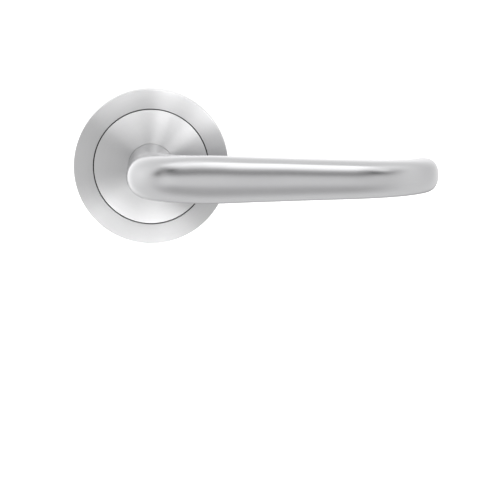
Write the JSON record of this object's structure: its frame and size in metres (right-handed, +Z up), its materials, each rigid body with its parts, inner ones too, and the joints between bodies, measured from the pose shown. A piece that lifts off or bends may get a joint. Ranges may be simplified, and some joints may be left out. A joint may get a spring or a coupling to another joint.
{
  "type": "door lever handle",
  "caption": "Sprung door lever on a round rose, with a bow-shaped satin steel grip, square spindle and two through bolts; the lever turns down 45 degrees and the rose cover unclips.",
  "frame": {"origin": "where the spindle axis crosses the face of the door", "axes": "+X from the spindle towards the lever's tip, +Y into the door along the spindle, +Z up; everything a user sees is at negative Y"},
  "size_m": [0.1491, 0.1187, 0.064],
  "materials": {
    "satin_stainless": "satin",
    "zinc_cast": "satin",
    "spring_steel": "satin",
    "zinc_plated_steel": "satin",
    "black_oxide_steel": "satin",
    "black_acetal": "satin",
    "white_acetal": "satin",
    "bearing_bronze": "satin",
    "sintered_steel": "matte"
  },
  "bodies": {
    "mounting": {"mounting_plate": "zinc_cast", "spring_housing": "zinc_cast", "front_bearing_bush": "bearing_bronze", "rear_bearing_bush": "bearing_bronze", "thrust_washer": "white_acetal", "return_spring": "spring_steel", "snap_ring": "spring_steel", "housing_screw_top": "zinc_plated_steel", "housing_screw_left": "zinc_plated_steel", "housing_screw_right": "zinc_plated_steel", "fixing_bolt_left": "zinc_plated_steel", "fixing_bolt_right": "zinc_plated_steel", "lock_washer_left": "black_oxide_steel", "lock_washer_right": "black_oxide_steel"},
    "lever_assembly": {"lever": "satin_stainless", "spindle": "zinc_plated_steel", "grub_screw": "black_oxide_steel", "driver_cam": "sintered_steel", "wave_washer": "spring_steel", "retaining_circlip": "black_oxide_steel"},
    "cover_assembly": {"rose_cover_ring": "satin_stainless", "rose_centre_disc": "satin_stainless", "cover_carrier": "black_acetal"}
  },
  "joints": [
    {"name": "lever_turn", "type": "hinge", "parent": "mounting", "child": "lever_assembly", "pos_m": [0, 0, 0], "axis": [0, 1, 0], "range_deg": [0, 45], "stiffness_Nm_per_rad": 0.61, "springref_deg": -59.99, "deforming": ["return_spring"]},
    {"name": "cover_slide", "type": "slide", "parent": "mounting", "child": "cover_assembly", "axis": [0, -1, 0], "range_m": [0, 0.02]}
  ]
}
